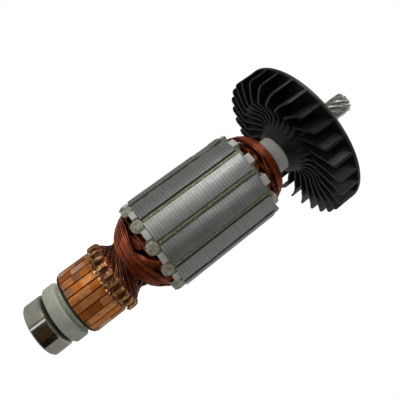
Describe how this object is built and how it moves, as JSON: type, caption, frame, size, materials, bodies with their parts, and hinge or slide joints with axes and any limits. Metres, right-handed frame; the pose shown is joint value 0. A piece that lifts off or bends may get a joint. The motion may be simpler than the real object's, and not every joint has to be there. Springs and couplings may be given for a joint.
{
  "type": "motor armature",
  "caption": "Wound motor armature: hook commutator, slotted laminated core, rear ball bearing, moulded fan with curved blades and a helical pinion cut on the shaft end.",
  "frame": {"origin": "on the axis at the rear bearing's outer end face, the bottom of the part as it stands", "axes": "+Z along the shaft from the rear bearing to the pinion; the armature stands on its rear bearing"},
  "size_m": [0.07, 0.07, 0.161],
  "materials": {
    "shaft_steel": "turned, with hobbed teeth",
    "bearing_steel": "ground",
    "ball_steel": "polished",
    "cage": "pressed sheet",
    "seal": "matt",
    "copper": "turned, tarnished by heat",
    "phenolic": "satin moulded",
    "insulating_ring": "satin moulded",
    "lamination_steel": "turned sheet edges",
    "end_insulator": "satin moulded",
    "slot_liner": "varnished sheet",
    "slot_wedge": "varnished strip",
    "enamelled_wire": "enamelled and varnished",
    "tube": "mottled moulded",
    "fan_plastic": "satin moulded"
  },
  "bodies": {
    "rotor": {"shaft": "shaft_steel", "insulating_tube": "tube", "lamination_stack": "lamination_steel", "end_insulator_rear": "end_insulator", "end_insulator_front": "end_insulator", "slot_liners": "slot_liner", "slot_wedges": "slot_wedge", "commutator_hub": "phenolic", "lead_wires": "enamelled_wire", "insulating_ring": "insulating_ring", "bearing_inner_race": "bearing_steel", "fan": "fan_plastic", "commutator_bar_1": "copper", "commutator_bar_2": "copper", "commutator_bar_3": "copper", "commutator_bar_4": "copper", "commutator_bar_5": "copper", "commutator_bar_6": "copper", "commutator_bar_7": "copper", "commutator_bar_8": "copper", "commutator_bar_9": "copper", "commutator_bar_10": "copper", "commutator_bar_11": "copper", "commutator_bar_12": "copper", "commutator_bar_13": "copper", "commutator_bar_14": "copper", "commutator_bar_15": "copper", "commutator_bar_16": "copper", "commutator_bar_17": "copper", "commutator_bar_18": "copper", "commutator_bar_19": "copper", "commutator_bar_20": "copper", "commutator_bar_21": "copper", "commutator_bar_22": "copper", "commutator_bar_23": "copper", "commutator_bar_24": "copper", "coil_1": "enamelled_wire", "coil_2": "enamelled_wire", "coil_3": "enamelled_wire", "coil_4": "enamelled_wire", "coil_5": "enamelled_wire", "coil_6": "enamelled_wire", "coil_7": "enamelled_wire", "coil_8": "enamelled_wire", "coil_9": "enamelled_wire", "coil_10": "enamelled_wire", "coil_11": "enamelled_wire", "coil_12": "enamelled_wire"},
    "bearing_shell": {"bearing_outer_race": "bearing_steel", "bearing_seal_rear": "seal", "bearing_seal_front": "seal"},
    "ball_set": {"bearing_balls": "ball_steel", "bearing_cage": "cage"}
  },
  "joints": [
    {"name": "bearing_spin", "type": "hinge", "parent": "rotor", "child": "bearing_shell", "pos_m": [0, 0, 0.0035], "axis": [0, 0, 1], "continuous": true},
    {"name": "ball_roll", "type": "hinge", "parent": "rotor", "child": "ball_set", "pos_m": [0, 0, 0.0035], "axis": [0, 0, 1], "continuous": true}
  ],
  "couplings": [
    {"joint": "ball_roll", "follows": "bearing_spin", "ratio": 0.6323}
  ]
}
